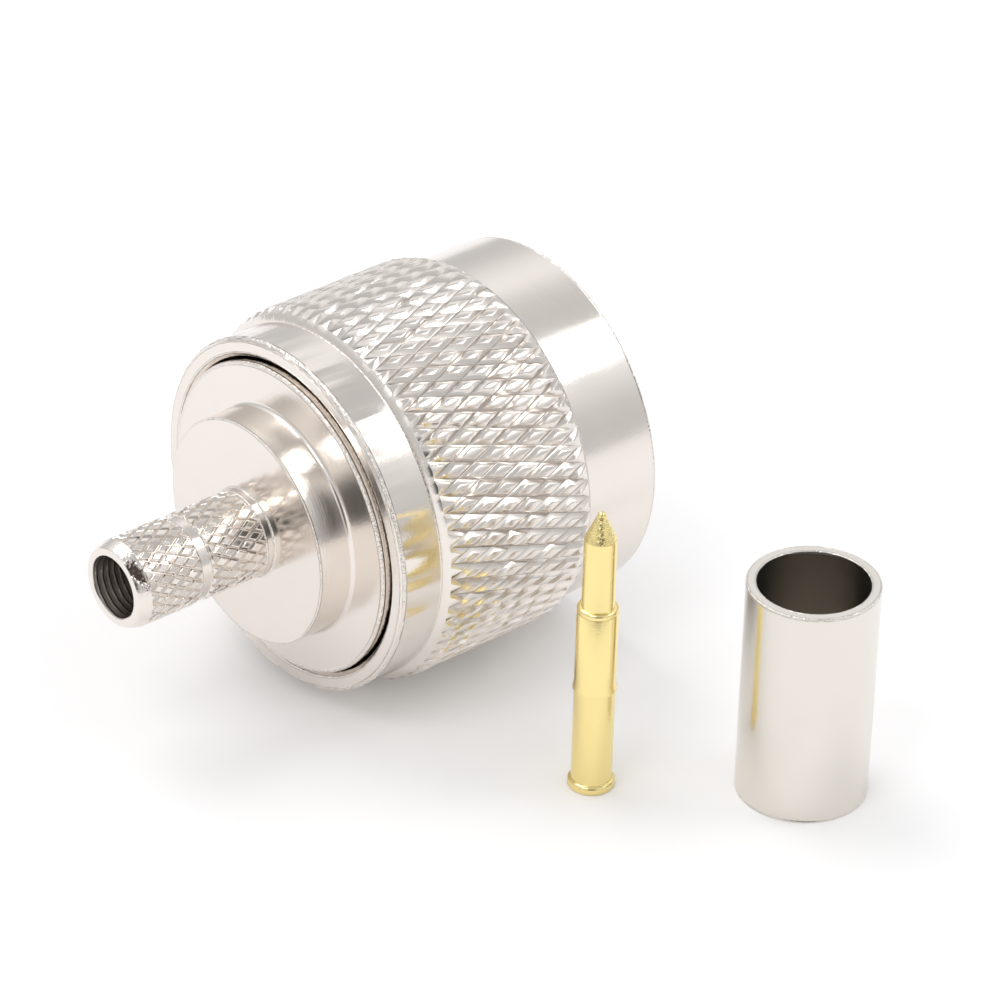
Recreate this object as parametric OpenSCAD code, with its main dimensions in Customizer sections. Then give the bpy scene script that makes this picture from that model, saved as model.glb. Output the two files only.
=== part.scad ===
// N type plug for RG58 coaxial cable, crimp version, as it is supplied: the plug itself with its
// coupling nut, the loose centre contact pin and the loose crimp ferrule.
// Millimetres. The plug's axis runs along X with the mating mouth towards +X and the cable stem
// towards -X, and the plug lies on the knurl of its nut. The pin stands on its flange and the
// ferrule on its end beside it. Z = 0 is the surface that all three rest on.
// Distances along the plug's axis are measured from the rear edge of the coupling nut.

/* [Coupling nut] */
// Wall of the plain collars, round the nut's back bore
collar_wall = 0.96; // [0.8:0.02:2]
// Height of the knurl above the collars
knurl_rise = 0.6; // [0.5:0.05:1]
// Length of the nut
nut_l = 16.75; // [16:0.25:18]
// Length of the plain collar behind the knurl
rear_collar_l = 2.55; // [1.5:0.05:3.5]
// Length of the knurled band, with the bevel at each end of it
knurl_l = 9.65; // [7:0.05:11]
// Length of the bevel at each end of the knurled band
knurl_bevel = 0.3; // [0.1:0.05:0.6]
// Depth of the knurl's grooves
knurl_depth = 0.26; // [0.16:0.02:0.4]
// Number of diamonds round the nut
knurl_count = 68; // [48:4:84]
// Number of half diamonds along the nut
knurl_rows = 7; // [5:1:9]
// Flat left on top of a diamond of the nut, as a share of its width
knurl_flat = 0.5; // [0.2:0.05:0.6]
// Chamfer on the rear outer edge
rear_edge = 0.15; // [0.05:0.05:0.4]
// Rounding of the front outer edge
mouth_edge = 0.5; // [0.2:0.1:0.8]
// Bore of the thread at its crests, 5/8-24 UNEF
thread_bore_d = 14.86; // [14.7:0.02:15]
// Step from the thread's crests out to the plain mouth
mouth_step = 0.62; // [0.55:0.01:0.9]
// Depth of the plain mouth
mouth_l = 1; // [0.5:0.1:1.5]

/* [Crimp body] */
// Diameter of the disc that closes the back of the nut
disc_d = 16.42; // [16:0.02:16.8]
// How far the disc stands out behind the nut
disc_proud = 0.33; // [0:0.01:0.8]
// Depth of the disc inside the nut
disc_depth = 1.9; // [1.2:0.1:2.4]
// Diameter of the boss on the disc
boss_d = 12; // [9:0.1:14]
// Length of the boss
boss_l = 2.03; // [1:0.01:4]
// Fillet where the boss meets the disc
boss_fillet = 0.25; // [0.1:0.05:0.6]
// Diameter of the crimp stem
stem_d = 4.64; // [4.4:0.02:5.2]
// Length of the crimp stem behind the boss
stem_l = 8.29; // [6:0.01:12]
// Bore that takes the cable's dielectric
cable_bore_d = 3.24; // [2.8:0.02:3.4]
// Length of the plain bevel at the stem's tip
tip_bevel_l = 0.7; // [0.3:0.05:1.2]
// Rise of that bevel, from the end face to the stem's full width
tip_bevel_t = 0.24; // [0.1:0.02:0.3]
// Distance from the stem's tip to the plain groove between its knurled bands
groove_from_tip = 3.9; // [3:0.1:4.5]
// Width of the plain groove
groove_w = 0.6; // [0.3:0.05:1]
// Depth of the plain groove
groove_t = 0.18; // [0.1:0.01:0.25]
// Depth of the stem's knurl
stem_knurl_depth = 0.15; // [0.08:0.01:0.22]
// Number of diamonds round the stem
stem_knurl_count = 24; // [16:2:36]
// Number of half diamonds along each knurled band of the stem
stem_knurl_rows = 6; // [4:1:8]
// Flat left on top of a diamond of the stem, as a share of its width
stem_knurl_flat = 0.5; // [0.2:0.05:0.6]
// Length of the plain neck between the knurl and the boss
neck_l = 0.5; // [0.2:0.05:1]
// Diameter of the spigot that is pressed into the outer contact
spigot_d = 10; // [9:0.1:11]
// Length of the spigot
spigot_l = 3.1; // [2:0.1:3.4]

/* [Outer contact] */
// Step from the disc in to the shell that carries the retaining ring
shell_step = 0.21; // [0.1:0.01:0.4]
// Length of the shell
shell_l = 4.1; // [3.8:0.1:4.3]
// Length of the flange in front of the shell
flange_l = 0.6; // [0.3:0.1:1]
// Height of the hub that the gasket sits on, above the sleeve
hub_step = 1.1; // [0.8:0.1:1.6]
// Diameter of the contact sleeve
sleeve_d = 8.2; // [8:0.02:8.4]
// Wall of the contact sleeve
sleeve_wall = 0.6; // [0.45:0.05:0.7]
// How far the sleeve's end lies inside the nut's mouth
sleeve_recess = 0.85; // [0.3:0.05:2]
// Chamfer on the sleeve's end
sleeve_edge = 0.25; // [0.1:0.05:0.4]

/* [Retaining ring] */
// How far the open ring that holds the nut reaches past the nut's back bore
ring_reach = 0.31; // [0.2:0.01:0.5]
// Depth of the ring's seat in the shell
ring_seat = 0.4; // [0.3:0.05:0.8]
// Space under the ring that lets it spring shut
ring_spring = 0.4; // [0.3:0.05:0.6]
// Thickness of the ring
ring_t = 1; // [0.7:0.05:1.2]
// Distance from the disc to the ring's groove
ring_from_disc = 1.55; // [1.2:0.05:1.8]
// Width of the gap that lets the ring spring shut
ring_gap = 2.4; // [1:0.1:4]

/* [Gasket] */
// How far the sealing gasket lies inside the rim of its flange
gasket_inset = 0.1; // [0.05:0.05:0.4]
// Thickness of the gasket
gasket_t = 1.5; // [1:0.1:2]

/* [Insulator] */
// Length of the insulator in front of the spigot
insulator_l = 4.2; // [3.6:0.1:6]
// Height of the insulator's rear flange above its front part
insulator_flange_t = 0.9; // [0.4:0.1:1.2]
// Length of the insulator's rear flange
insulator_flange_l = 1.2; // [0.8:0.1:1.5]
// Length of the front part of the hole, which stops the pin's shoulder
pin_stop_l = 1.2; // [0.8:0.1:2]

/* [Contact pin] */
// Diameter of the pin's contact end
pin_tip_d = 1.64; // [1.6:0.01:1.68]
// Step from the contact end out to the pin's body
pin_step = 0.22; // [0.15:0.01:0.3]
// Step from the body out to the flange at the pin's foot
pin_flange_step = 0.16; // [0.1:0.01:0.3]
// Height of the flange
pin_flange_l = 0.46; // [0.3:0.02:0.8]
// Height of the holding barb above the foot
barb_z = 5.76; // [4:0.01:7]
// How far the barb stands out from the body
barb_t = 0.08; // [0.04:0.01:0.15]
// Length of the barb's ramp
barb_l = 0.4; // [0.2:0.05:0.8]
// Height of the shoulder above the foot
shoulder_z = 10.59; // [9:0.01:12]
// Height of the base of the pointed end
cone_z = 14.46; // [13:0.01:15]
// Height of the whole pin
pin_l = 15.97; // [15.4:0.01:17]
// Radius of the rounded point
point_r = 0.22; // [0.1:0.02:0.4]
// Diameter of the hole for the cable's centre wire
wire_bore_d = 1.05; // [0.9:0.01:1.2]
// Depth of the hole for the wire
wire_bore_l = 4.5; // [3:0.1:6]

/* [Crimp ferrule] */
// Bore of the ferrule
ferrule_bore_d = 5.62; // [5.2:0.02:6.2]
// Wall of the ferrule
ferrule_wall = 0.54; // [0.4:0.02:0.8]
// Length of the ferrule
ferrule_l = 12.04; // [9:0.01:16]
// Rounding of the ferrule's edges
ferrule_edge = 0.08; // [0.02:0.02:0.16]

/* [Layout] */
// Distance of the pin in front of the nut's rear edge
pin_x = 6.44; // [0:0.01:16]
// Distance of the pin from the plug's axis, to its side
pin_y = 16.6; // [13:0.01:18]
// Distance of the ferrule in front of the nut's rear edge
ferrule_x = 14.56; // [6:0.01:22]
// Distance of the ferrule from the plug's axis, to its side
ferrule_y = 23.25; // [22:0.01:28]

/* [Clearances] */
// Radial gap between the thread's crests in the nut and the gasket's flange
flange_gap = 0.23; // [0.2:0.01:0.3]
// Radial gap between the nut's back bore and the disc
disc_gap = 0.23; // [0.2:0.01:0.3]
// Radial gap between the nut and the shell that turns inside it
shell_gap = 0.23; // [0.2:0.01:0.3]
// Radial gap between the retaining ring and its groove in the nut
ring_gap_r = 0.2; // [0.1:0.01:0.25]
// Gap on each side of the retaining ring in the nut
ring_gap_l = 0.15; // [0.1:0.01:0.2]
// Gap between the nut's inner shoulder and the shell
shoulder_gap = 0.3; // [0.2:0.05:0.4]
// Radial clearance of the pin in the insulator
pin_gap = 0.04; // [0.02:0.01:0.08]

/* [Hidden] */

$fn = 96;
ROUND_STEPS = 6; // straight steps in a rounded edge's quarter turn
KNURL_FOOT = 0.05; // how far the foot of a knurled band stands clear of the round it sits on
KNURL_SINK = 0.1; // how far the stem's knurl runs into the plain rings beside it
KNURL_BELOW = 0.04; // how far the stem's knurl stays below those rings

nickel = [0.80, 0.78, 0.75];
gold = [0.93, 0.76, 0.36];

// stations along the plug's axis
disc_back = -disc_proud;
boss_face = disc_back - boss_l;
stem_tip = boss_face - stem_l;
spigot_end = disc_depth + spigot_l;
groove_start = stem_tip + groove_from_tip;
shell_end = disc_depth + shell_l;
flange_end = shell_end + flange_l;
hub_end = flange_end + gasket_t;
sleeve_end = nut_l - sleeve_recess;
insulator_end = spigot_end + insulator_l;
ring_start = disc_depth + ring_from_disc;
ring_end = ring_start + ring_t;
thread_start = shell_end + shoulder_gap;
thread_end = nut_l - mouth_l;
knurl_start = rear_collar_l;
knurl_end = knurl_start + knurl_l;

// diameters that follow what turns or sits in them
nut_back_bore_d = disc_d + 2 * disc_gap;
collar_d = nut_back_bore_d + 2 * collar_wall;
knurl_d = collar_d + 2 * knurl_rise;
mouth_d = thread_bore_d + 2 * mouth_step;
shell_d = disc_d - 2 * shell_step;
shell_bore_d = shell_d + 2 * shell_gap;
ring_d = nut_back_bore_d + 2 * ring_reach;
ring_bore_d = shell_d - 2 * ring_seat;
nut_groove_d = ring_d + 2 * ring_gap_r;
shell_groove_d = ring_bore_d - 2 * ring_spring;
flange_d = thread_bore_d - 2 * flange_gap;
gasket_d = flange_d - 2 * gasket_inset;
hub_d = sleeve_d + 2 * hub_step;
sleeve_bore_d = sleeve_d - 2 * sleeve_wall;
insulator_flange_d = sleeve_bore_d + 2 * insulator_flange_t;
pin_body_d = pin_tip_d + 2 * pin_step;
pin_flange_d = pin_body_d + 2 * pin_flange_step;
ferrule_d = ferrule_bore_d + 2 * ferrule_wall;
tip_face_d = stem_d - 2 * tip_bevel_t;

// the kit's place over the middle of its own footprint
kit_x_min = stem_tip;
kit_x_max = max(nut_l, ferrule_x + ferrule_d / 2);
kit_y_min = -ferrule_y - ferrule_d / 2;
kit_y_max = knurl_d / 2;
kit_x = -(kit_x_min + kit_x_max) / 2;
kit_y = -(kit_y_min + kit_y_max) / 2;

// a solid turned about Z from [height, radius] pairs
module turned(outline) {
    rotate_extrude() polygon([for (p = outline) [p[1], p[0]]]);
}

// moves a solid turned about Z onto the plug's axis
module on_plug_axis() {
    translate([kit_x, kit_y, knurl_d / 2]) rotate([0, 90, 0]) children();
}

// points of a quarter round of radius r about [height, radius] centre c, from angle a to a + turn
function quarter_round(c, r, a, turn) =
    [for (i = [0:ROUND_STEPS]) c + r * [cos(a + turn * i / ROUND_STEPS), sin(a + turn * i / ROUND_STEPS)]];

// A solid band of diamond knurl about Z. Its rows of diamonds are half a diamond apart and offset by
// half a pitch. Each diamond has four corners in the crossings of the grooves and a flat top, and the
// rows at both ends are cut through the middle of their diamonds.
module knurled_band(start, end, top_r, depth, count, rows, flat, bevel, foot_r) {
    row_l = (end - start - 2 * bevel) / rows;
    low_r = top_r - depth;
    half = 180 / count;
    per_row = count * 5;
    function at(angle, r, z) = [r * cos(angle), r * sin(angle), z];
    function row_points(k) = let(z = start + bevel + k * row_l, shift = (k % 2) * half)
        [for (i = [0:count - 1]) let(a = 2 * half * i + shift, m = a + half)
            each [at(a, low_r, z), at(m - flat * half, top_r, z), at(m + flat * half, top_r, z),
                at(m, top_r, z - (k > 0 ? flat * row_l : 0)), at(m, top_r, z + (k < rows ? flat * row_l : 0))]];
    function end_points(k, z) = let(shift = (k % 2) * half)
        [for (i = [0:count - 1]) let(a = 2 * half * i + shift, m = a + half)
            each [at(a, foot_r, z), at(m - flat * half, foot_r, z), at(m + flat * half, foot_r, z)]];
    points = concat([for (k = [0:rows]) each row_points(k)], end_points(0, start), end_points(rows, end));
    foot = (rows + 1) * per_row;
    head = foot + 3 * count;

    function corner(k, i) = k * per_row + 5 * ((i + count) % count);
    // the corner in row k that lies at the middle of diamond i of the row beside it
    function facing(k, i) = corner(k, i + (k % 2 == 0 ? 1 : 0));
    function upper(k, i) = let(c = corner(k, i), n = corner(k, i + 1), f = facing(k + 1, i))
        [[c, c + 1, f], [f, c + 1, c + 4], [f, c + 4, c + 2], [f, c + 2, n], [c + 1, c + 2, c + 4]];
    function lower(k, i) = let(c = corner(k, i), n = corner(k, i + 1), f = facing(k - 1, i))
        [[c, f, c + 1], [f, c + 3, c + 1], [f, c + 2, c + 3], [f, n, c + 2], [c + 1, c + 3, c + 2]];
    function foot_ring(i) = let(c = corner(0, i), n = corner(0, i + 1), e = foot + 3 * i,
            m = foot + 3 * ((i + 1) % count))
        [[e, e + 1, c + 1], [e, c + 1, c], [e + 1, e + 2, c + 2], [e + 1, c + 2, c + 1],
            [e + 2, m, n], [e + 2, n, c + 2]];
    function head_ring(i) = let(c = corner(rows, i), n = corner(rows, i + 1), e = head + 3 * i,
            m = head + 3 * ((i + 1) % count))
        [[e, c + 1, e + 1], [e, c, c + 1], [e + 1, c + 2, e + 2], [e + 1, c + 1, c + 2],
            [e + 2, n, m], [e + 2, c + 2, n]];
    faces = concat(
        [for (k = [0:rows - 1], i = [0:count - 1]) each upper(k, i)],
        [for (k = [1:rows], i = [0:count - 1]) each lower(k, i)],
        [for (i = [0:count - 1]) each concat(foot_ring(i), head_ring(i))],
        [[for (i = [3 * count - 1:-1:0]) foot + i]], [[for (i = [0:3 * count - 1]) head + i]]
    );
    polyhedron(points, [for (f = faces) [for (i = [len(f) - 1:-1:0]) f[i]]]);
}

module coupling_nut() {
    collar_r = collar_d / 2;
    color(nickel) on_plug_axis() difference() {
        union() {
            turned(concat(
                [[0, 0], [0, collar_r - rear_edge], [rear_edge, collar_r]],
                quarter_round([nut_l - mouth_edge, collar_r - mouth_edge], mouth_edge, 90, -90),
                [[nut_l, 0]]
            ));
            knurled_band(knurl_start, knurl_end, knurl_d / 2, knurl_depth, knurl_count, knurl_rows,
                knurl_flat, knurl_bevel, collar_r + KNURL_FOOT);
        }
        turned([
            [-1, 0], [-1, nut_back_bore_d / 2], [ring_start - ring_gap_l, nut_back_bore_d / 2],
            [ring_start - ring_gap_l, nut_groove_d / 2], [ring_end + ring_gap_l, nut_groove_d / 2],
            [ring_end + ring_gap_l, shell_bore_d / 2], [thread_start, shell_bore_d / 2],
            [thread_start, thread_bore_d / 2], [thread_end, thread_bore_d / 2],
            [thread_end, mouth_d / 2], [nut_l + 1, mouth_d / 2], [nut_l + 1, 0]
        ]);
    }
}

module crimp_body() {
    stem_r = stem_d / 2;
    core_r = stem_r - groove_t - KNURL_FOOT;
    boss_r = boss_d / 2;
    tip_knurl_start = stem_tip + tip_bevel_l;
    neck_start = boss_face - neck_l;
    color(nickel) on_plug_axis() difference() {
        union() {
            turned(concat(
                [[stem_tip, 0], [stem_tip, tip_face_d / 2], [tip_knurl_start, stem_r],
                    [tip_knurl_start, core_r], [neck_start, core_r], [neck_start, stem_r],
                    [boss_face, stem_r], [boss_face, boss_r]],
                quarter_round([disc_back - boss_fillet, boss_r + boss_fillet], boss_fillet, -90, 90),
                [[disc_back, disc_d / 2], [disc_depth, disc_d / 2], [disc_depth, spigot_d / 2],
                    [spigot_end, spigot_d / 2], [spigot_end, 0]]
            ));
            stem_knurl(tip_knurl_start - KNURL_SINK, groove_start);
            stem_knurl(groove_start + groove_w, neck_start + KNURL_SINK);
        }
        translate([0, 0, stem_tip - 1]) cylinder(d = cable_bore_d, h = spigot_end - stem_tip + 2);
    }
}

module stem_knurl(start, end) {
    knurled_band(start, end, stem_d / 2 - KNURL_BELOW, stem_knurl_depth - KNURL_BELOW, stem_knurl_count,
        stem_knurl_rows, stem_knurl_flat, KNURL_SINK / 2, stem_d / 2 - groove_t);
}

module outer_contact() {
    color(nickel) on_plug_axis() turned([
        [disc_depth, spigot_d / 2], [disc_depth, shell_d / 2],
        [ring_start, shell_d / 2], [ring_start, shell_groove_d / 2],
        [ring_end, shell_groove_d / 2], [ring_end, shell_d / 2],
        [shell_end, shell_d / 2], [shell_end, flange_d / 2],
        [flange_end, flange_d / 2], [flange_end, hub_d / 2],
        [hub_end, hub_d / 2], [hub_end, sleeve_d / 2],
        [sleeve_end - sleeve_edge, sleeve_d / 2], [sleeve_end, sleeve_d / 2 - sleeve_edge],
        [sleeve_end, sleeve_bore_d / 2], [spigot_end + insulator_flange_l, sleeve_bore_d / 2],
        [spigot_end + insulator_flange_l, insulator_flange_d / 2],
        [spigot_end, insulator_flange_d / 2], [spigot_end, spigot_d / 2]
    ]);
}

module insulator() {
    color("white") on_plug_axis() turned([
        [spigot_end, pin_body_d / 2 + pin_gap], [spigot_end, insulator_flange_d / 2],
        [spigot_end + insulator_flange_l, insulator_flange_d / 2],
        [spigot_end + insulator_flange_l, sleeve_bore_d / 2], [insulator_end, sleeve_bore_d / 2],
        [insulator_end, pin_tip_d / 2 + pin_gap], [insulator_end - pin_stop_l, pin_tip_d / 2 + pin_gap],
        [insulator_end - pin_stop_l, pin_body_d / 2 + pin_gap]
    ]);
}

module gasket() {
    color("dimgray") on_plug_axis() translate([0, 0, flange_end]) difference() {
        cylinder(d = gasket_d, h = gasket_t);
        translate([0, 0, -1]) cylinder(d = hub_d, h = gasket_t + 2);
    }
}

module retaining_ring() {
    color("peru") on_plug_axis() translate([0, 0, ring_start]) difference() {
        cylinder(d = ring_d, h = ring_t);
        translate([0, 0, -1]) cylinder(d = ring_bore_d, h = ring_t + 2);
        translate([0, -ring_gap / 2, -1]) cube([ring_d, ring_gap, ring_t + 2]);
    }
}

module contact_pin() {
    body_r = pin_body_d / 2;
    tip_r = pin_tip_d / 2;
    shoulder_bevel = body_r - tip_r;
    color(gold) translate([kit_x + pin_x, kit_y - pin_y, 0]) difference() {
        turned([
            [0, 0], [0, pin_flange_d / 2], [pin_flange_l, pin_flange_d / 2], [pin_flange_l, body_r],
            [barb_z, body_r], [barb_z, body_r + barb_t], [barb_z + barb_l, body_r],
            [shoulder_z - shoulder_bevel, body_r], [shoulder_z, tip_r],
            [cone_z, tip_r], [pin_l - point_r, point_r], [pin_l, point_r * 0.5], [pin_l, 0]
        ]);
        translate([0, 0, -1]) cylinder(d = wire_bore_d, h = wire_bore_l + 1);
    }
}

module crimp_ferrule() {
    outer_r = ferrule_d / 2;
    inner_r = ferrule_bore_d / 2;
    edge = ferrule_edge;
    color(nickel) translate([kit_x + ferrule_x, kit_y - ferrule_y, 0]) turned([
        [0, inner_r + edge], [0, outer_r - edge], [edge, outer_r],
        [ferrule_l - edge, outer_r], [ferrule_l, outer_r - edge],
        [ferrule_l, inner_r + edge], [ferrule_l - edge, inner_r], [edge, inner_r]
    ]);
}

coupling_nut();
crimp_body();
outer_contact();
insulator();
gasket();
retaining_ring();
contact_pin();
crimp_ferrule();
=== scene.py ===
import math
import random

import bmesh
import bpy
from mathutils import Matrix, Vector, noise


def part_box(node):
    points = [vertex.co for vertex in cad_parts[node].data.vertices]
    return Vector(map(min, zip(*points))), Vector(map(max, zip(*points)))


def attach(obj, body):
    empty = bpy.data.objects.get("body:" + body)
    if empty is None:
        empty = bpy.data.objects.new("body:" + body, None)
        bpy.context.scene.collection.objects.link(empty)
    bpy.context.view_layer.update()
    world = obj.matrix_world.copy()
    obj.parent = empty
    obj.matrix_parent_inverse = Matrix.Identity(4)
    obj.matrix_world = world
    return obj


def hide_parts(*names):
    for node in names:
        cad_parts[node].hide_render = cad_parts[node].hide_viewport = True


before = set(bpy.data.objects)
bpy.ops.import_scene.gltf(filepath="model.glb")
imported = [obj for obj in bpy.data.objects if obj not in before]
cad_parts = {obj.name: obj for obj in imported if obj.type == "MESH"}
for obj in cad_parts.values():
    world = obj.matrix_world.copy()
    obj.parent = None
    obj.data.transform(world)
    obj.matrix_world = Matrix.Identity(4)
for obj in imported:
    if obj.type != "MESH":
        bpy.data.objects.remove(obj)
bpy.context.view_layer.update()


# Camera: a long lens close to the bench, above the cable end and to the pin's side of the plug. It is rolled
# a little, as a camera held in the hand is.
MM = 0.001
aim = Vector((8.03, 5.10, 8.0)) * MM
yaw, pitch, roll = math.radians(48.63), math.radians(32.09), math.radians(1.684)
camera_distance = 278.8 * MM
forward = Vector((math.cos(pitch) * math.cos(yaw), math.cos(pitch) * math.sin(yaw), -math.sin(pitch)))
level_right = Vector((math.sin(yaw), -math.cos(yaw), 0))
level_up = level_right.cross(forward)
right = math.cos(roll) * level_right + math.sin(roll) * level_up
up = right.cross(forward)
camera_data = bpy.data.cameras.new("camera")
camera_data.lens = 196.11
camera_data.sensor_width = 36
camera_data.clip_start = 0.01
camera = bpy.data.objects.new("camera", camera_data)
camera.matrix_world = Matrix.Translation(aim - forward * camera_distance) @ Matrix(
    (right, up, -forward)).transposed().to_4x4()
bpy.context.scene.collection.objects.link(camera)
bpy.context.scene.camera = camera
bpy.context.scene.view_settings.view_transform = "Standard"


# Bench and studio: a pale matt sheet that runs out to a white room, lit by three soft lamps. The sheet has a
# little light of its own for the camera and for mirrors, which lifts the open floor to white.
def shader_nodes(owner):
    owner.use_nodes = True
    owner.node_tree.nodes.clear()
    return owner.node_tree.nodes, owner.node_tree.links


def sheet_material():
    camera_lift, mirror_lift = 0.13, 0.08
    material = bpy.data.materials.new("white_sheet")
    nodes, links = shader_nodes(material)
    output = nodes.new("ShaderNodeOutputMaterial")
    matt = nodes.new("ShaderNodeBsdfDiffuse")
    matt.inputs["Color"].default_value = (0.93, 0.925, 0.925, 1)
    glow = nodes.new("ShaderNodeEmission")
    path = nodes.new("ShaderNodeLightPath")
    seen = nodes.new("ShaderNodeMath")
    seen.operation = "MULTIPLY"
    seen.inputs[1].default_value = camera_lift
    mirrored = nodes.new("ShaderNodeMath")
    mirrored.operation = "MULTIPLY_ADD"
    mirrored.inputs[1].default_value = mirror_lift
    links.new(path.outputs["Is Camera Ray"], seen.inputs[0])
    links.new(path.outputs["Is Glossy Ray"], mirrored.inputs[0])
    links.new(seen.outputs[0], mirrored.inputs[2])
    links.new(mirrored.outputs[0], glow.inputs["Strength"])
    both = nodes.new("ShaderNodeAddShader")
    links.new(matt.outputs[0], both.inputs[0])
    links.new(glow.outputs[0], both.inputs[1])
    links.new(both.outputs[0], output.inputs["Surface"])
    return material


def bench():
    mesh = bpy.data.meshes.new("bench_sheet")
    half = 1.5
    corners = [(-half, -half, 0), (half, -half, 0), (half, half, 0), (-half, half, 0)]
    mesh.from_pydata(corners, [], [(0, 1, 2, 3)])
    mesh.materials.append(sheet_material())
    sheet = bpy.data.objects.new("bench_sheet", mesh)
    bpy.context.scene.collection.objects.link(sheet)


def soft_lamp(name, azimuth, elevation, size, power):
    """A rectangular lamp that faces the plug; angles are in degrees and the size in metres."""
    distance = 0.45
    azimuth, elevation = math.radians(azimuth), math.radians(elevation)
    lamp = bpy.data.lights.new(name, "AREA")
    lamp.shape = "RECTANGLE"
    lamp.size, lamp.size_y = size
    lamp.energy = power
    holder = bpy.data.objects.new(name, lamp)
    toward = Vector((math.cos(elevation) * math.cos(azimuth), math.cos(elevation) * math.sin(azimuth),
                     math.sin(elevation)))
    holder.location = aim + toward * distance
    holder.rotation_euler = (-toward).to_track_quat("-Z", "Y").to_euler()
    bpy.context.scene.collection.objects.link(holder)


def room():
    """Walls by height, with a dark patch on the camera's side; plain white behind the plug."""
    greys_by_height = ((0.0, 0.66), (0.15, 0.63), (0.32, 0.68), (0.46, 0.82), (0.60, 0.98), (0.70, 1.02),
                       (0.79, 0.66), (0.86, 0.60), (1.0, 0.62))
    dark_side, dark_edge, light_edge, darkest = (-0.575, -0.735, 0.36), 0.975, 0.885, 0.15
    world = bpy.data.worlds.new("white_room")
    bpy.context.scene.world = world
    nodes, links = shader_nodes(world)
    output = nodes.new("ShaderNodeOutputWorld")
    background = nodes.new("ShaderNodeBackground")
    path = nodes.new("ShaderNodeLightPath")
    coordinates = nodes.new("ShaderNodeTexCoord")
    height = nodes.new("ShaderNodeSeparateXYZ")
    links.new(coordinates.outputs["Generated"], height.inputs[0])
    walls = nodes.new("ShaderNodeValToRGB")
    ramp = walls.color_ramp
    for place, grey in greys_by_height:
        stop = ramp.elements.new(place) if 0 < place < 1 else ramp.elements[0 if place == 0 else -1]
        stop.color = (grey, grey, grey * 1.01, 1)
    links.new(height.outputs["Z"], walls.inputs[0])
    toward_camera = nodes.new("ShaderNodeVectorMath")
    toward_camera.operation = "DOT_PRODUCT"
    toward_camera.inputs[1].default_value = dark_side
    links.new(coordinates.outputs["Generated"], toward_camera.inputs[0])
    lit = nodes.new("ShaderNodeMapRange")
    lit.inputs["From Min"].default_value = dark_edge
    lit.inputs["From Max"].default_value = light_edge
    lit.inputs["To Min"].default_value = darkest
    lit.inputs["To Max"].default_value = 1.0
    links.new(toward_camera.outputs["Value"], lit.inputs["Value"])
    dimmed = nodes.new("ShaderNodeMix")
    dimmed.data_type = "RGBA"
    dimmed.blend_type = "MULTIPLY"
    dimmed.inputs["Factor"].default_value = 1.0
    links.new(walls.outputs["Color"], dimmed.inputs["A"])
    links.new(lit.outputs["Result"], dimmed.inputs["B"])
    choose = nodes.new("ShaderNodeMix")
    choose.data_type = "RGBA"
    links.new(path.outputs["Is Camera Ray"], choose.inputs["Factor"])
    links.new(dimmed.outputs["Result"], choose.inputs["A"])
    choose.inputs["B"].default_value = (1, 1, 1, 1)
    links.new(choose.outputs["Result"], background.inputs["Color"])
    links.new(background.outputs[0], output.inputs["Surface"])


bench()
room()
soft_lamp("right_lamp", -36, 48, (0.16, 0.13), 0.19)
soft_lamp("left_lamp", -167, 57, (0.15, 0.12), 0.20)
soft_lamp("window_lamp", 100, 62, (0.24, 0.24), 0.46)


# Coupling nut: turned brass with a rolled diamond knurl between two plain collars, threaded 5/8-24 inside.
# It is plated with bright nickel after knurling and turns on the shell, held by the retaining ring.
nut_low, nut_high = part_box("coupling_nut")
axis_y = (nut_low.y + nut_high.y) / 2
axis_z = (nut_low.z + nut_high.z) / 2
rear_edge_x = nut_low.x
TURN = 2 * math.pi


def ragged(radius, height, seed):
    """A radius that wavers at random round the axis, as on an edge that has been knocked and plated over."""
    lumps_round, lumps_along, seed_step = 4, 9, 17

    def at(angle, station):
        place = Vector((radius * math.cos(angle) * lumps_round, radius * math.sin(angle) * lumps_round,
                        station * lumps_along + seed * seed_step))
        return radius + height * noise.noise(place)
    return at


def ring_points(station, radius, count):
    """Points round the plug's axis; radius is a number or a function of the angle and the station."""
    points = []
    for i in range(count):
        angle = TURN * i / count
        r = radius(angle, station) if callable(radius) else radius
        points.append((rear_edge_x + station * MM, axis_y + r * MM * math.cos(angle),
                       axis_z + r * MM * math.sin(angle)))
    return points


def softened(outline, edge, steps=5):
    """Rounds the corners of a closed outline of (station, radius), by at most the given edge radius.

    A point may give its own edge radius. Returns (station, radius, wear): the rounded corners are worn, and
    each lies between two unworn guard points, which keep the flats beside it unworn."""
    edge_share, guard_share, guard_most = 0.4, 0.05, 0.06
    result = []
    for i, here in enumerate(outline):
        before, after = outline[i - 1][:2], outline[(i + 1) % len(outline)][:2]
        own_edge = here[2] if len(here) > 2 else edge
        here = Vector(here[:2])
        if own_edge == 0:
            result.append((*here, 0.0))
            continue
        to_before, to_after = Vector(before) - here, Vector(after) - here
        reach = min(own_edge, edge_share * to_before.length, edge_share * to_after.length)
        start, end = here + to_before.normalized() * reach, here + to_after.normalized() * reach
        guards = [min(guard_most, guard_share * to_point.length) for to_point in (to_before, to_after)]
        result.append((*(start + to_before.normalized() * guards[0]), 0.0))
        for k in range(steps + 1):
            t = k / steps
            result.append((*((1 - t) ** 2 * start + 2 * t * (1 - t) * here + t ** 2 * end), 1.0))
        result.append((*(end + to_after.normalized() * guards[1]), 0.0))
    return result


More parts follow.
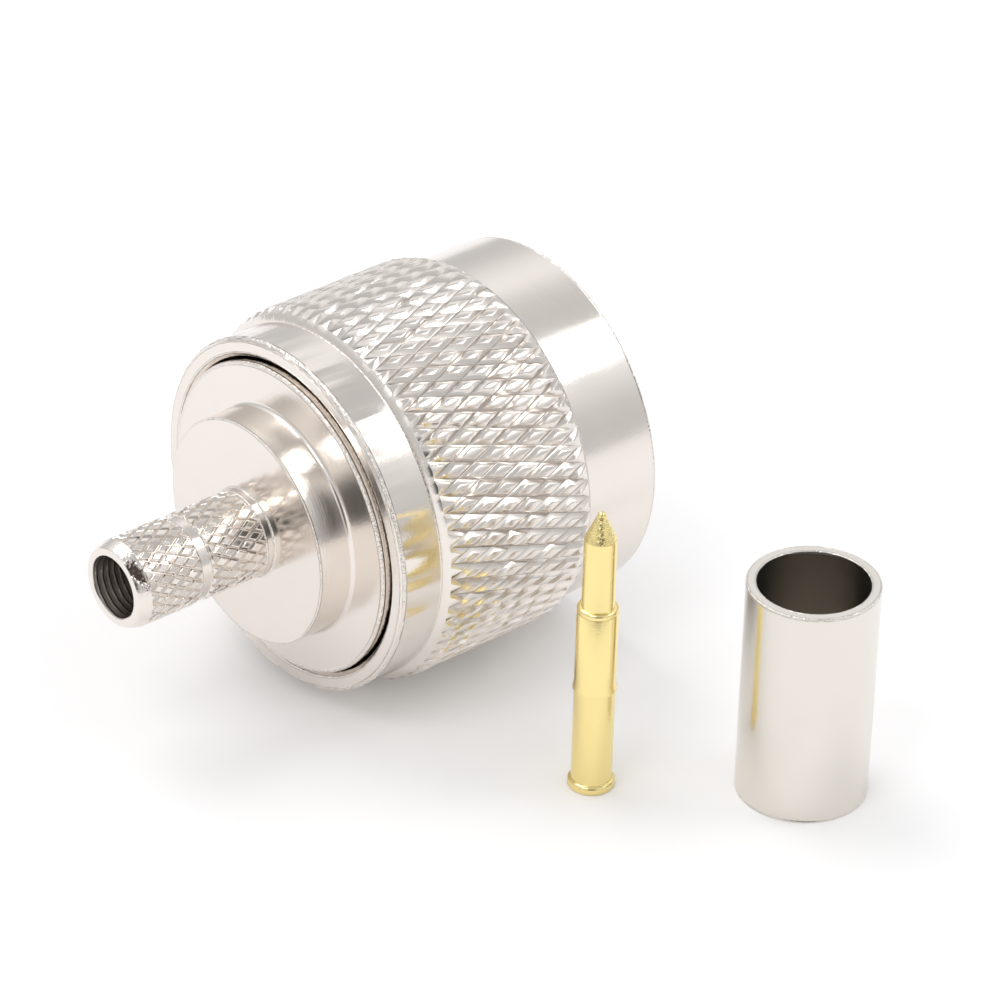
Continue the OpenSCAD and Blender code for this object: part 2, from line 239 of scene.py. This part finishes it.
def turned_mesh(form, rings, count):
    """Adds a closed surface turned about the plug's axis, from rings of (station, radius, wear, painted shade).
    """
    worn = form.verts.layers.float.get("worn") or form.verts.layers.float.new("worn")
    painted_shade = form.verts.layers.float.get("painted_shade") or form.verts.layers.float.new("painted_shade")
    loops = []
    for ring in rings:
        loop = [form.verts.new(p) for p in ring_points(ring[0], ring[1], count)]
        for i, vert in enumerate(loop):
            vert[worn] = ring[2] if len(ring) > 2 else 0.0
            recess_shade = ring[3] if len(ring) > 3 else 0.0
            vert[painted_shade] = recess_shade(TURN * i / count, ring[0]) if callable(recess_shade) else recess_shade
        loops.append(loop)
    for a, b in zip(loops, loops[1:] + loops[:1]):
        for i in range(count):
            j = (i + 1) % count
            form.faces.new((a[i], a[j], b[j], b[i]))


def finished_piece(form, name, material, body, nodes, crease=20):
    """Makes the form an object and ties it to its body; faces that turn by more than the crease stay sharp."""
    bmesh.ops.remove_doubles(form, verts=form.verts, dist=1e-7)
    bmesh.ops.recalc_face_normals(form, faces=form.faces)
    mesh = bpy.data.meshes.new(name)
    form.to_mesh(mesh)
    form.free()
    mesh.shade_smooth()
    mesh.set_sharp_from_angle(angle=math.radians(crease))
    mesh.materials.append(material)
    piece = bpy.data.objects.new(name, mesh)
    bpy.context.scene.collection.objects.link(piece)
    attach(piece, body)
    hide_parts(*nodes)


def knurl_band(form, start, end, profile, inset, top_r, depth, round_count, rows, seed,
               flat=0.46, valley=0.05, recess_shade=0.65):
    """Adds a band of raised diamonds, wrapped round the plug's axis and cut by the two-ended profile.

    Each diamond is made flat as rings of corners round a crown; the rows at the ends are cut in half. The
    profile's (distance from the band's end, radius) points hold the diamonds down to the turned shoulder.
    Flat and valley are shares of the diamond's width, and the last sets how dark the painted shade in the
    valleys is."""
    rng = random.Random(seed)
    band = bmesh.new()
    height = band.verts.layers.float.new("height")
    painted_shade = band.verts.layers.float.new("painted_shade")
    row_l = (end - start - 2 * inset) / rows
    corners = ((0.5, 0), (0, 1), (-0.5, 0), (0, -1))
    valley_rise, shoulder_rise, wall_shade_share, held_margin = 0.03, 0.86, 0.2, 0.02
    for row in range(-1, rows + 2):
        for column in range(round_count):
            u0, s0 = column + (row + 1) % 2 / 2, start + inset + row * row_l
            flat_here = flat * rng.uniform(0.75, 1.2)
            sway_u, sway_s = rng.uniform(-0.03, 0.03), rng.uniform(-0.06, 0.06)
            levels = ((1.0, 0.0), (1 - valley, valley_rise), (flat_here + 0.12, shoulder_rise),
                      (flat_here - 0.04, 1.0))
            lift = [rng.uniform(-0.06, 0.0) for _ in corners]
            rings = []
            for share, level in levels:
                ring = []
                shift = 1 - share
                for (cu, cs), tilt in zip(corners, lift):
                    vert = band.verts.new((u0 + cu * share + sway_u * shift,
                                           s0 + (cs * share + sway_s * shift) * row_l, 0))
                    vert[height] = level + tilt if level > 0.5 else level
                    # Painted shade: the valleys are darkened in full and their walls at a fifth, where shade
                    # falls; the crowns stay clean.
                    vert[painted_shade] = recess_shade if level == 0 else recess_shade * wall_shade_share if level < 0.5 else 0.0
                    ring.append(vert)
                rings.append(ring)
            for outer, inner in zip(rings, rings[1:]):
                for k in range(4):
                    band.faces.new((outer[k], outer[(k + 1) % 4], inner[(k + 1) % 4], inner[k]))
            crown = band.verts.new((u0 + sway_u, s0 + sway_s * row_l, 0))
            crown[height] = 1.0 + sum(lift) / 4
            for k in range(4):
                band.faces.new((rings[-1][k], rings[-1][(k + 1) % 4], crown))
    cuts = [(start, True), (end, False)] + [(start + d, None) for d, _ in profile[1:]] + [
        (end - d, None) for d, _ in profile[1:]]
    for station, keep_above in cuts:
        bmesh.ops.bisect_plane(
            band, geom=band.verts[:] + band.edges[:] + band.faces[:], plane_co=(0, station, 0),
            plane_no=(0, 1, 0), clear_inner=keep_above is True, clear_outer=keep_above is False)
    for vert in band.verts:
        u, s = vert.co.x, vert.co.y
        r = top_r - depth + depth * min(1.0, vert[height])
        from_end = max(0.0, min(s - start, end - s))
        for (d0, r0), (d1, r1) in zip(profile, profile[1:]):
            if d0 <= from_end <= d1:
                held = r0 + (r1 - r0) * (from_end - d0) / (d1 - d0)
                if held < r + held_margin:
                    vert[painted_shade] = 0.0
                r = min(r, held)
        angle = TURN * u / round_count
        vert.co = (rear_edge_x + s * MM, axis_y + r * MM * math.cos(angle), axis_z + r * MM * math.sin(angle))
    bmesh.ops.remove_doubles(band, verts=band.verts, dist=2e-6)
    flat_mesh = bpy.data.meshes.new("band")
    band.to_mesh(flat_mesh)
    band.free()
    form.from_mesh(flat_mesh)
    bpy.data.meshes.remove(flat_mesh)


def plated(name, colour, roughness, axis_place, marks_height):
    """Plated turned metal: turning marks round the axis, uneven gloss, pits, worn edges and painted shade.

    The axis is given as a point on it and the directions across it. The marks' height is in micrometres. Wear
    and the painted shade, a dark colour laid into recesses where shade falls, come from the mesh's own
    attributes."""
    # The dark brown below is painted shade, laid into the recesses where shade falls; there the metal is also
    # made rougher.
    painted_shade_colour, painted_shade_roughness = (0.10, 0.075, 0.06), 0.3
    dull_tone, pits, knock_height = 0.96, 0.03, 1.1e-4
    material = bpy.data.materials.new(name)
    nodes, links = shader_nodes(material)

    def node(kind, inputs=(), **settings):
        made = nodes.new("ShaderNode" + kind)
        for key, value in settings.items():
            setattr(made, key, value)
        for key, value in dict(inputs).items():
            if isinstance(value, bpy.types.NodeSocket):
                links.new(value, made.inputs[key])
            else:
                made.inputs[key].default_value = value
        return made

    place = node("TexCoord").outputs["Object"]
    centred = node("VectorMath", {0: place, 1: axis_place[0]}, operation="SUBTRACT").outputs[0]
    across = node("VectorMath", {0: centred, 1: axis_place[1]}, operation="MULTIPLY").outputs[0]
    radius = node("VectorMath", {0: across}, operation="LENGTH").outputs["Value"]
    along = node("VectorMath", {0: centred, 1: [1 - c for c in axis_place[1]]},
                 operation="DOT_PRODUCT").outputs["Value"]
    track = node("Math", {0: radius, 1: along}, operation="ADD").outputs[0]
    marks = node("TexNoise", {"W": track, "Scale": 16000, "Detail": 3}, noise_dimensions="1D").outputs["Fac"]
    blotch = node("TexNoise", {"Vector": place, "Scale": 420, "Detail": 5}).outputs["Fac"]
    grain = node("TexNoise", {"Vector": place, "Scale": 6500, "Detail": 2}).outputs["Fac"]
    worn = node("Attribute", attribute_name="worn").outputs["Fac"]
    painted_shade = node("Attribute", attribute_name="painted_shade").outputs["Fac"]
    gloss = node("MapRange", {"Value": blotch, "From Min": 0.3, "From Max": 0.7, "To Min": roughness * 0.75,
                              "To Max": roughness * 1.3}).outputs["Result"]
    rough = node("Math", {0: painted_shade, 1: painted_shade_roughness, 2: gloss}, operation="MULTIPLY_ADD").outputs[0]
    tone = node("Mix", {"Factor": blotch, "A": [c * dull_tone for c in colour] + [1], "B": list(colour) + [1]},
                data_type="RGBA").outputs["Result"]
    shade = node("Mix", {"Factor": painted_shade, "A": tone, "B": [*painted_shade_colour, 1]},
                 data_type="RGBA").outputs["Result"]
    ridges = node("Bump", {"Height": marks, "Strength": 1.0, "Distance": marks_height * 1e-6}).outputs[0]
    pitted = node("Math", {0: worn, 1: pits}, operation="ADD").outputs[0]
    knocks_height = node("Math", {0: grain, 1: pitted}, operation="MULTIPLY").outputs[0]
    knocks = node("Bump", {"Height": knocks_height, "Strength": 0.9, "Distance": knock_height,
                           "Normal": ridges}).outputs[0]
    metal = node("BsdfPrincipled", {"Base Color": shade, "Metallic": 1.0, "Roughness": rough, "Normal": knocks})
    node("OutputMaterial", {"Surface": metal.outputs[0]})
    return material


plug_axis = ((0, axis_y, axis_z), (0, 1, 1))
nickel = plated("nickel_plate", (0.885, 0.83, 0.775), 0.14, plug_axis, marks_height=2.4)


def coupling_nut():
    nut_l, collar_r, mouth_r, mouth_chamfer = 16.75, 9.4, 8.05, 0.25
    knurl_r, knurl_depth, knurl_start, knurl_end = 10.0, 0.25, 2.55, 12.2
    knurl_count, knurl_rows, bevel_l = 68, 7, 0.3
    thread_start, thread_end, thread_r, thread_depth, thread_pitch = 6.3, 15.75, 7.43, 0.48, 25.4 / 24
    shell_bore_r, back_bore_r, lip_chamfer = 8.23, 8.40, 0.22
    groove_start, groove_end, groove_r = 3.30, 4.65, 8.95
    core_r = collar_r - 0.12

    def thread(angle, station):
        """The bore's radius along the thread's turns, which run out at both ends."""
        phase = (station / thread_pitch - angle / TURN) % 1
        fade = min(1, (station - thread_start) / 0.6, (thread_end - station) / 0.3)
        return thread_r + thread_depth * max(0, fade) * min(1, max(0, 1.25 - abs(phase - 0.5) * 2.9))

    front = [(knurl_end, core_r), (knurl_end - 0.02, collar_r), (nut_l - 0.09, collar_r, 0.06),
             (nut_l, collar_r - 0.12), (nut_l, mouth_r + mouth_chamfer), (nut_l - mouth_chamfer, mouth_r),
             (thread_end, mouth_r)]
    steps = round((thread_end - thread_start) / thread_pitch * 16)
    threads = [(thread_end + (thread_start - thread_end) * i / steps, thread) for i in range(steps + 1)]
    back = [(thread_start, shell_bore_r), (groove_end, shell_bore_r), (groove_end, groove_r),
            (groove_start, groove_r), (groove_start, back_bore_r), (lip_chamfer, back_bore_r),
            (0, back_bore_r + lip_chamfer), (0, collar_r - 0.18, 0.02), (0.16, collar_r, 0.13),
            (knurl_start + 0.02, collar_r), (knurl_start, core_r)]
    rear_lip = []
    for station, radius, worn in softened([(thread_start, thread_r)] + back, 0.05):
        at_rear_rim = station < 0.3 and radius > 9.0
        if worn and at_rear_rim:
            radius = ragged(radius, 0.07, seed=2)
        rear_lip.append((station, radius, worn))
    form = bmesh.new()
    turned_mesh(form, softened(front + [(thread_end, thread_r)], 0.08)[:-2] + threads[1:-1] + rear_lip[2:], 256)
    shoulder = ((0, collar_r - 0.1), (0.02, collar_r + 0.03), (0.28, collar_r + 0.36), (0.85, knurl_r))
    knurl_band(form, knurl_start, knurl_end, shoulder, bevel_l, knurl_r, knurl_depth, knurl_count, knurl_rows,
               seed=3)
    finished_piece(form, "coupling_nut_knurled", nickel, "nut", ["coupling_nut"], crease=34)


coupling_nut()


# Crimp body: the rear disc, its boss and the cable stem, turned from one brass bar. The stem is knurled in
# two bands so that the braid can't pull off, and its bore is left with the tool's rings.
def crimp_body():
    stem_r, bore_r, tip = 2.32, 1.62, -10.65
    groove_start, groove_end, groove_depth, neck = -6.75, -6.15, 0.15, -2.86
    knurl_depth, knurl_count, knurl_rows = 0.14, 24, 6
    core_r = stem_r - knurl_depth - 0.02
    ring_pitch, ring_depth, ringed_l = 0.36, 0.07, 6.0
    bevel_steps, bevel_start, bevel_l, bevel_r, bevel_rise = 14, tip + 0.05, 0.62, 2.09, 0.22
    boss_back, boss_r, fillet_r = -2.36, 6.0, 0.25
    disc_back, disc_front, disc_r, disc_edge = -0.33, 1.9, 8.29, 0.15
    spigot_r, spigot_end = 5.0, 5.0
    nick_angle, nick_half_angle, nick_place, nick_half_l, nick_depth = 136, 18, 0.36, 0.29, 0.15
    bevel_wear, bore_shade = 0.15, 0.8

    def bore(angle, station):
        """The bore with the tool's rings, which are steep on one side."""
        phase = (station / ring_pitch - angle / TURN) % 1
        return bore_r + ring_depth * min(1, 3.2 * phase, 1.4 * (1 - phase))

    def ring_shade(angle, station):
        """How much painted shade the bore gets: none on the rings' tops and dark between them, where shade
        falls.
        """
        return bore_shade * min(1, (bore(angle, station) - bore_r) / 0.03)

    def nick(angle, station):
        """How deep the rim is knocked in, from 0 to 1, with a ragged outline."""
        degrees = math.degrees(angle)
        waver = noise.noise(Vector((degrees / 3.5, station * 8, 3.1))) * 0.9
        skew = (degrees - nick_angle) * 0.010
        main = 1.15 - math.hypot((degrees - nick_angle) / nick_half_angle,
                                 (station - tip - nick_place - skew) / nick_half_l)
        return max(0.0, min(1.0, (main + waver) * 2.2))

    def rim(radius):
        return lambda angle, station: radius - nick_depth * nick(angle, station)

    # The nick in the tip's bevel is also darkened with painted shade, as deep as it is knocked in.
    bevel = []
    for i in range(bevel_steps + 1):
        t = i / bevel_steps
        bevel.append((bevel_start + bevel_l * t, rim(bevel_r + bevel_rise * t ** 0.85), bevel_wear, nick))
    outside = [(groove_start - 0.05, core_r), (groove_start, stem_r - groove_depth),
               (groove_end, stem_r - groove_depth), (groove_end + 0.05, core_r), (neck, core_r),
               (neck + 0.06, stem_r), (boss_back, stem_r), (boss_back, boss_r)]
    for degrees in range(-90, 1, 15):
        turn = math.radians(degrees)
        outside.append((disc_back - fillet_r + fillet_r * math.cos(turn),
                        boss_r + fillet_r + fillet_r * math.sin(turn), 0))
    outside += [(disc_back, disc_r, disc_edge), (disc_front, disc_r), (disc_front, spigot_r),
                (spigot_end, spigot_r), (spigot_end, bore_r)]
    steps = round(ringed_l / ring_pitch * 14)
    inside = [(tip + 0.05 + ringed_l * (1 - i / steps), bore, 0.0, ring_shade) for i in range(steps + 1)]
    form = bmesh.new()
    turned_mesh(form, [(tip, bore_r + ring_depth), (tip, 2.05), *bevel, (tip + 0.68, core_r)]
                + softened(outside, 0.05)[1:-1] + inside, 200)
    shoulder = ((0, core_r), (0.03, stem_r - 0.08), (0.10, stem_r))
    # The stem's knurl valleys get a little painted shade as well.
    for start, end, seed in ((tip + 0.60, groove_start, 5), (groove_end, neck + 0.1, 6)):
        knurl_band(form, start, end, shoulder, 0.05, stem_r - 0.01, knurl_depth, knurl_count, knurl_rows, seed,
                   flat=0.55, valley=0.08, recess_shade=0.12)
    finished_piece(form, "crimp_body_knurled", nickel, "plug", ["crimp_body"])


crimp_body()


# Outer contact: the shell, the flange and the sleeve that makes contact with the jack, one turned and plated
# piece pressed over the crimp body. It stays still while the nut turns round its shell.
def outer_contact():
    shell_back, shell_front, shell_r, shell_bore_r = 1.9, 6.0, 7.99, 5.02
    groove_start, groove_end, groove_r = 3.45, 4.45, 7.21
    flange_front, flange_r, hub_front, hub_r = 6.6, 7.19, 8.1, 5.19
    sleeve_front, sleeve_r, sleeve_chamfer, bore_r, mouth_l = 15.9, 4.1, 0.2, 3.5, 0.15
    spigot_front, seat_front, seat_r = 5.0, 6.22, 4.42
    form = bmesh.new()
    turned_mesh(form, softened([
        (shell_back, shell_bore_r), (shell_back, shell_r), (groove_start, shell_r), (groove_start, groove_r),
        (groove_end, groove_r), (groove_end, shell_r), (shell_front, shell_r), (shell_front, flange_r),
        (flange_front, flange_r), (flange_front, hub_r), (hub_front, hub_r), (hub_front, sleeve_r),
        (sleeve_front - sleeve_chamfer, sleeve_r), (sleeve_front, sleeve_r - sleeve_chamfer - 0.02),
        (sleeve_front, bore_r + 0.1), (sleeve_front - mouth_l, bore_r), (seat_front, bore_r),
        (seat_front, seat_r), (spigot_front, seat_r), (spigot_front, shell_bore_r)], 0.06), 160)
    finished_piece(form, "outer_contact_sleeve", nickel, "plug", ["outer_contact"])


outer_contact()


# Insulator: a white PTFE bead that centres the pin in the sleeve. It is machined with a flange at the back,
# where it bears on the outer contact, and a stepped bore that stops the pin's shoulder.
def plain_material(name, colour, roughness, grain_scale, grain_height, metallic=0.0):
    """Plastic, rubber or bare metal with a fine uneven surface. The grain's height is in micrometres."""
    dull_tone = 0.9
    material = bpy.data.materials.new(name)
    nodes, links = shader_nodes(material)
    output = nodes.new("ShaderNodeOutputMaterial")
    body = nodes.new("ShaderNodeBsdfPrincipled")
    body.inputs["Metallic"].default_value = metallic
    body.inputs["Roughness"].default_value = roughness
    coordinates = nodes.new("ShaderNodeTexCoord")
    grain = nodes.new("ShaderNodeTexNoise")
    grain.inputs["Scale"].default_value = grain_scale
    grain.inputs["Detail"].default_value = 4
    links.new(coordinates.outputs["Object"], grain.inputs["Vector"])
    tone = nodes.new("ShaderNodeMix")
    tone.data_type = "RGBA"
    tone.inputs["A"].default_value = [c * dull_tone for c in colour] + [1]
    tone.inputs["B"].default_value = [*colour, 1]
    links.new(grain.outputs["Fac"], tone.inputs["Factor"])
    links.new(tone.outputs["Result"], body.inputs["Base Color"])
    bump = nodes.new("ShaderNodeBump")
    bump.inputs["Distance"].default_value = grain_height * 1e-6
    links.new(grain.outputs["Fac"], bump.inputs["Height"])
    links.new(bump.outputs[0], body.inputs["Normal"])
    links.new(body.outputs[0], output.inputs["Surface"])
    return material


def insulator():
    back, flange_front, front, flange_r, bead_r = 5.01, 6.2, 9.2, 4.38, 3.48
    pin_bore_r, tip_bore_r, step = 1.08, 0.86, 8.0
    outline = softened([
        (back, pin_bore_r), (back, flange_r), (flange_front, flange_r), (flange_front, bead_r), (front, bead_r),
        (front, tip_bore_r), (step, tip_bore_r), (step, pin_bore_r)], 0.12)
    form = bmesh.new()
    turned_mesh(form, outline, 128)
    ptfe = plain_material("ptfe", (0.87, 0.86, 0.83), 0.42, grain_scale=2500, grain_height=6)
    finished_piece(form, "insulator_bead", ptfe, "plug", ["insulator"])


insulator()


# Gasket: a flat washer of silicone rubber round the outer contact's hub. The jack's rim is pulled against it
# to keep the water out.
def gasket():
    back, front, inner_r, outer_r = 6.61, 8.09, 5.21, 7.09
    outline = softened([(back, inner_r), (back, outer_r), (front, outer_r), (front, inner_r)], 0.15, steps=5)
    form = bmesh.new()
    turned_mesh(form, outline, 128)
    rubber = plain_material("silicone_rubber", (0.42, 0.09, 0.05), 0.55, grain_scale=1800, grain_height=12)
    finished_piece(form, "gasket_washer", rubber, "plug", ["gasket"])


gasket()


# Retaining ring: spring bronze wire rolled flat and left open at the foot. It snaps into the shell's groove
# and reaches into the nut's, so that the nut turns but can't come off.
def retaining_ring():
    inner_r, outer_r, gap_r, start, end, half_gap = 7.62, 8.73, 8.1, 3.47, 4.43, 1.2
    outline = softened([(start, inner_r), (start, outer_r), (end, outer_r), (end, inner_r)], 0.14, steps=4)
    open_from = math.asin(half_gap / gap_r) - math.pi / 2
    arc = TURN - 2 * math.asin(half_gap / gap_r)
    count = 120
    form = bmesh.new()
    loops = []
    for i in range(count + 1):
        angle = open_from + arc * i / count
        loops.append([form.verts.new((rear_edge_x + s * MM, axis_y + r * MM * math.cos(angle),
                                      axis_z + r * MM * math.sin(angle))) for s, r, _ in outline])
    for a, b in zip(loops, loops[1:]):
        for k in range(len(outline)):
            j = (k + 1) % len(outline)
            form.faces.new((a[k], a[j], b[j], b[k]))
    form.faces.new(loops[0])
    form.faces.new(loops[-1])
    bronze = plain_material("spring_bronze", (0.72, 0.46, 0.24), 0.3, grain_scale=3000, grain_height=3,
                            metallic=1.0)
    finished_piece(form, "retaining_ring_open", bronze, "plug", ["retaining_ring"])


retaining_ring()


# Contact pin: turned brass, gold plated, standing on the flange that the wire goes into. A small barb round
# its body bites into the insulator when it is pushed home, up to the shoulder.
pin_low, pin_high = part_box("contact_pin")


def upright_mesh(form, outline, count, centre):
    """Adds a closed surface turned about an upright axis, from (height, radius, wear, painted shade) points."""
    worn = form.verts.layers.float.new("worn")
    painted_shade = form.verts.layers.float.new("painted_shade")
    loops = []
    for z, r, *finish in outline:
        loop = [form.verts.new((centre[0] + r * MM * math.cos(TURN * i / count),
                                centre[1] + r * MM * math.sin(TURN * i / count), z * MM))
                for i in range(count if r else 1)]
        for vert in loop:
            vert[worn] = finish[0] if finish else 0.0
            vert[painted_shade] = finish[1] if len(finish) > 1 else 0.0
        loops.append(loop)
    for a, b in zip(loops, loops[1:] + loops[:1]):
        for i in range(count):
            j = (i + 1) % count
            corners = [a[i % len(a)], a[j % len(a)], b[j % len(b)], b[i % len(b)]]
            corners = list(dict.fromkeys(corners))
            if len(corners) > 2:
                form.faces.new(corners)


def contact_pin():
    centre = ((pin_low.x + pin_high.x) / 2, (pin_low.y + pin_high.y) / 2)
    body_r, flange_r, flange_z, barb_low, barb_high = 1.04, 1.2, 0.46, 5.74, 6.16
    tip_r, shoulder_z, cone_z, point_r, top = 0.82, 10.60, 14.46, 0.22, 15.97
    bore_r, bore_z, drill_point = 0.525, 4.4, 0.2
    tool_marks, tool_height, marked = 9, 0.006, 0.5
    outline = [(0, 0.56), (0, flange_r - 0.14), (0.03, flange_r - 0.05), (0.09, flange_r), (0.32, flange_r),
               (0.40, flange_r - 0.03), (0.45, flange_r - 0.09), (flange_z, body_r + 0.02), (0.48, body_r),
               (barb_low, body_r), (5.76, body_r + 0.06), (5.80, body_r + 0.08), (5.86, body_r + 0.075),
               (barb_high, body_r), (10.26, body_r), (10.29, body_r - 0.02), (10.32, body_r), (10.46, body_r),
               (10.53, body_r - 0.03), (10.58, body_r - 0.10), (shoulder_z, body_r - 0.16),
               (shoulder_z, tip_r + 0.01), (10.62, tip_r), (cone_z - 0.06, tip_r), (cone_z, tip_r - 0.015)]
    steps = 60
    for i in range(1, steps):
        t = i / steps
        tooled = tool_height * math.sin(t * tool_marks * 2 * math.pi) * math.sin(t * math.pi)
        outline.append((cone_z + (top - point_r - cone_z) * t, tip_r + (point_r - tip_r) * t + tooled, marked))
    outline += [(top - point_r + point_r * math.sin(a), point_r * math.cos(a))
                for a in [math.radians(d) for d in (24, 40, 55, 70, 80)]]
    outline += [(top, 0), (bore_z + drill_point, 0), (bore_z, bore_r), (0.04, bore_r)]
    form = bmesh.new()
    upright_mesh(form, outline, 128, centre)
    pin_axis = ((centre[0], centre[1], 0), (1, 1, 0))
    gold = plated("gold_plate", (1.0, 0.83, 0.38), 0.15, pin_axis, marks_height=1.5)
    finished_piece(form, "contact_pin_gold", gold, "plug", ["contact_pin"], crease=40)


contact_pin()


# Crimp ferrule: a length of drawn brass tube with broken edges, nickel plated outside, rougher inside and
# darkened there with painted shade. It goes over the braid and is crimped onto the knurled stem.
ferrule_low, ferrule_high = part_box("crimp_ferrule")


def crimp_ferrule():
    centre = ((ferrule_low.x + ferrule_high.x) / 2, (ferrule_low.y + ferrule_high.y) / 2)
    outer_r, inner_r, length, edge = 3.344, 2.81, 12.04, 0.08
    edge_wear, inside_shade = 0.7, 0.15
    outline = softened([(0, inner_r), (0, outer_r), (length, outer_r), (length, inner_r)], edge, steps=4)
    # Painted shade darkens the tube's inside, where shade falls.
    outline = [(z, r, worn * edge_wear, inside_shade if r < inner_r + 0.03 else 0.0) for z, r, worn in outline]
    form = bmesh.new()
    upright_mesh(form, outline, 192, centre)
    tube_axis = ((centre[0], centre[1], 0), (1, 1, 0))
    tube = plated("ferrule_nickel", (0.835, 0.795, 0.735), 0.14, tube_axis, marks_height=1.0)
    finished_piece(form, "crimp_ferrule_tube", tube, "plug", ["crimp_ferrule"])


crimp_ferrule()
